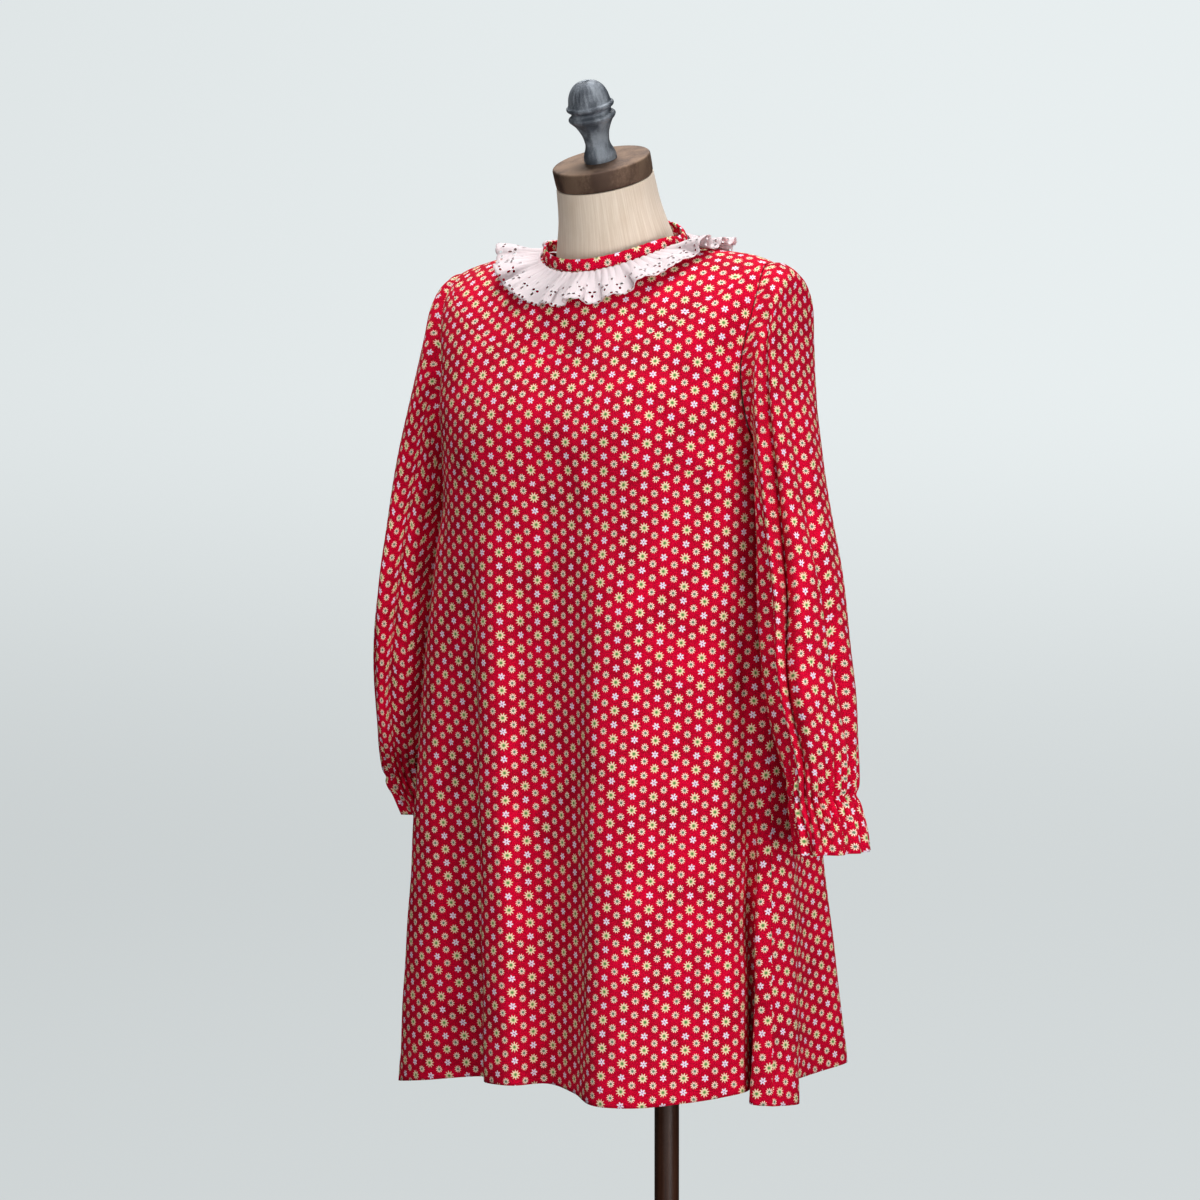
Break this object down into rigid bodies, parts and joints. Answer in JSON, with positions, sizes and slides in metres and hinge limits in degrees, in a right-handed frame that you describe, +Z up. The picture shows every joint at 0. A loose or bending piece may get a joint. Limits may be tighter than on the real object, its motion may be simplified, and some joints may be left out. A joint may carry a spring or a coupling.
{
  "type": "tent dress on dress form",
  "caption": "Knee-length printed tent dress with a gathered eyelet collar and full sleeves frilled at the wrist, on a limbless dress form with a round stand.",
  "frame": {"origin": "centre of the stand base's underside, on the floor below the pole", "axes": "+Z up along the pole, -Y the way the garment's front faces, +X towards the wearer's left"},
  "size_m": [0.606, 0.435, 1.5703],
  "materials": {
    "print_cloth": "matt woven cotton with a small flower print",
    "eyelet": "white cotton eyelet embroidery",
    "linen": "natural linen cover",
    "bronze": "satin dark bronze",
    "pewter": "weathered grey metal",
    "wood": "satin dark brown",
    "pearl": "polished"
  },
  "bodies": {
    "root": {"dress_front": "print_cloth", "dress_back_left": "print_cloth", "dress_back_right": "print_cloth", "sleeve_left": "print_cloth", "sleeve_right": "print_cloth", "neckband": "print_cloth", "collar_ruffle": "eyelet", "neck_button": "pearl", "form_torso": "linen", "neck_cap": "bronze", "finial": "pewter", "stand_nut": "bronze", "stand_pole": "wood", "stand_base": "bronze"}
  },
  "joints": []
}
